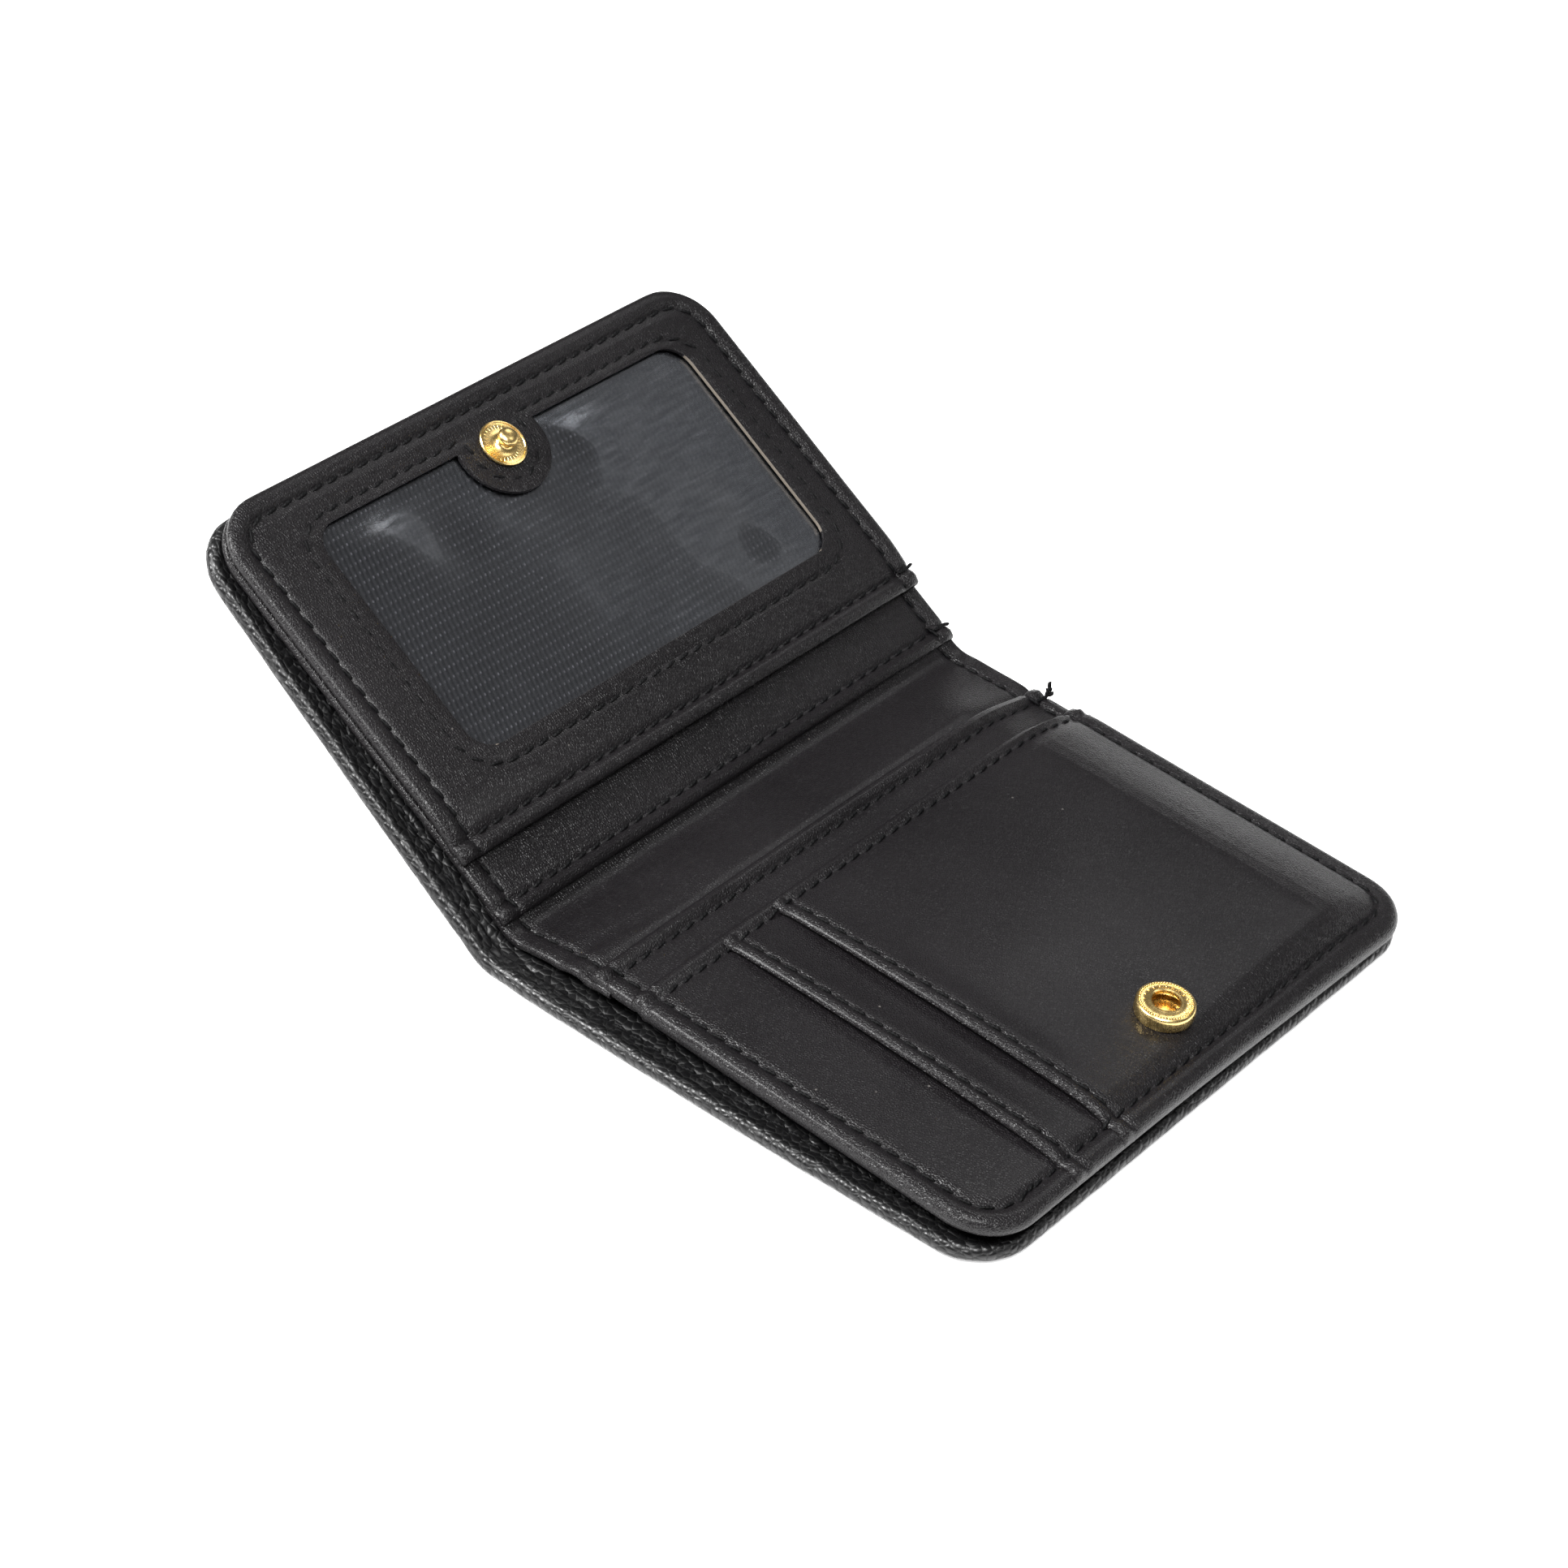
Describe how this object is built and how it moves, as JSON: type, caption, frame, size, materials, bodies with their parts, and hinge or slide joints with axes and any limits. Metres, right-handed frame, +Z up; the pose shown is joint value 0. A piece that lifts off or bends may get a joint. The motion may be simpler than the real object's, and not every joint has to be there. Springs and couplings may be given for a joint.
{
  "type": "folding wallet",
  "caption": "Folding leather wallet lying open, with a card window, side card slots, a note compartment and a snap fastener.",
  "frame": {"origin": "on the resting face under the middle of the spine", "axes": "+X to the leaf with the card slots and the snap socket, +Y along the fold away from the note mouth, +Z up"},
  "size_m": [0.1549, 0.105, 0.0418],
  "materials": {
    "grained_leather": "glossy pebbled grain",
    "smooth_leather": "satin fine grain",
    "board": "matte",
    "lining": "woven",
    "woven_backing": "coated twill",
    "clear_film": "glossy clear",
    "thread": "waxed",
    "gold_brass": "polished",
    "spring_steel": "bright"
  },
  "bodies": {
    "right_leaf": {"outer_shell_right": "grained_leather", "shell_board_right": "board", "shell_lining_right": "lining", "pocket_lining_right": "lining", "under_pocket_panel": "smooth_leather", "card_panel_a": "smooth_leather", "slot_lining_b": "lining", "card_panel_b": "smooth_leather", "slot_lining_c": "lining", "card_panel_c": "smooth_leather", "snap_socket": "gold_brass", "socket_spring": "spring_steel", "socket_rivet": "gold_brass", "edge_seam_right": "thread", "slot_seams_right": "thread", "hem_seam_right": "thread"},
    "spine": {"outer_shell_spine": "grained_leather", "shell_lining_spine": "lining", "inner_liner_spine": "smooth_leather", "edge_seam_spine": "thread"},
    "left_leaf": {"outer_shell_left": "grained_leather", "shell_board_left": "board", "shell_lining_left": "lining", "pocket_lining_left": "lining", "pocket_panel_left": "smooth_leather", "slot_lining_left": "lining", "window_backing": "woven_backing", "window_film": "clear_film", "window_panel": "smooth_leather", "snap_stud": "gold_brass", "stud_rivet": "gold_brass", "edge_seam_left": "thread", "slot_seams_left": "thread", "window_seam": "thread", "hem_seam_left": "thread"}
  },
  "joints": [
    {"name": "right_fold", "type": "hinge", "parent": "right_leaf", "child": "spine", "pos_m": [0.00645, 0, 0.0031], "axis": [0, 1, 0], "range_deg": [0, 90]},
    {"name": "left_fold", "type": "hinge", "parent": "spine", "child": "left_leaf", "pos_m": [-0.00645, 0, 0.0031], "axis": [0, 1, 0], "range_deg": [-28.5, 61.5]}
  ]
}
